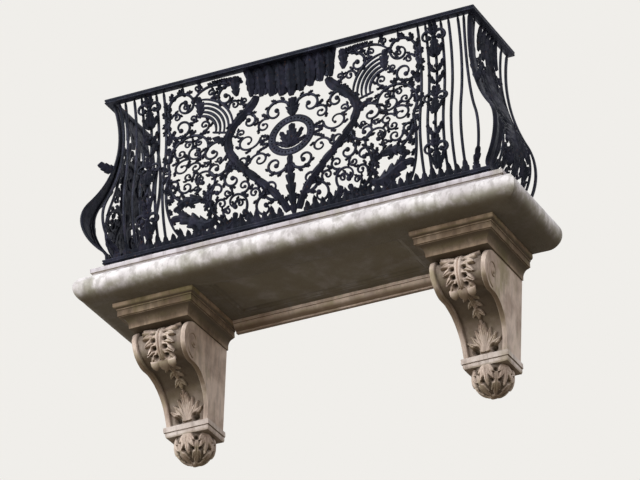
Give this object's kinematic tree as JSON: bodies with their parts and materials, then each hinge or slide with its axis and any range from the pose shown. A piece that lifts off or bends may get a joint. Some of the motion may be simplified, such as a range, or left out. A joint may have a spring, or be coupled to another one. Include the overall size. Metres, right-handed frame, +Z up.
{
  "type": "wrought iron balcony",
  "caption": "Bellied wrought iron balcony railing with scrollwork on a moulded stone landing carried by two carved scroll consoles, fixed to a wall.",
  "frame": {"origin": "centre of the landing's back face, on the wall plane, at half the landing's thickness", "axes": "X runs along the wall, to the right as seen from the street; the balcony stands out toward -Y; +Z is up"},
  "size_m": [2.38, 0.6746, 1.925],
  "materials": {
    "iron": "weathered near-black paint",
    "stone": "weathered limestone",
    "pale_stone": "washed limestone with dirt streaks"
  },
  "bodies": {
    "root": {"landing_slab": "pale_stone", "landing_step": "stone", "bed_moulding": "stone", "console_cap_left": "stone", "console_cap_right": "stone", "console_body_left": "stone", "console_body_right": "stone", "console_leaf_left": "stone", "console_leaf_right": "stone", "console_band_left": "pale_stone", "console_band_right": "pale_stone", "console_pendant_left": "stone", "console_pendant_right": "stone", "handrail_front": "iron", "handrail_left": "iron", "handrail_right": "iron", "base_rail_front": "iron", "base_rail_left": "iron", "base_rail_right": "iron", "feet": "iron", "corner_bar_left": "iron", "corner_bar_right": "iron", "corner_leaf_left": "iron", "corner_leaf_right": "iron", "wall_bar_left": "iron", "wall_bar_right": "iron", "slim_bar_left": "iron", "slim_bar_right": "iron", "strip_bars_left": "iron", "strip_bars_right": "iron", "strip_curls_left": "iron", "strip_curls_right": "iron", "front_scrolls_left": "iron", "front_scrolls_right": "iron", "cartouche_left": "iron", "cartouche_right": "iron", "medallion": "iron", "valance_front": "iron", "valance_left": "iron", "valance_right": "iron", "side_bars_left": "iron", "side_bars_right": "iron", "side_scrolls_left": "iron", "side_scrolls_right": "iron"}
  },
  "joints": []
}
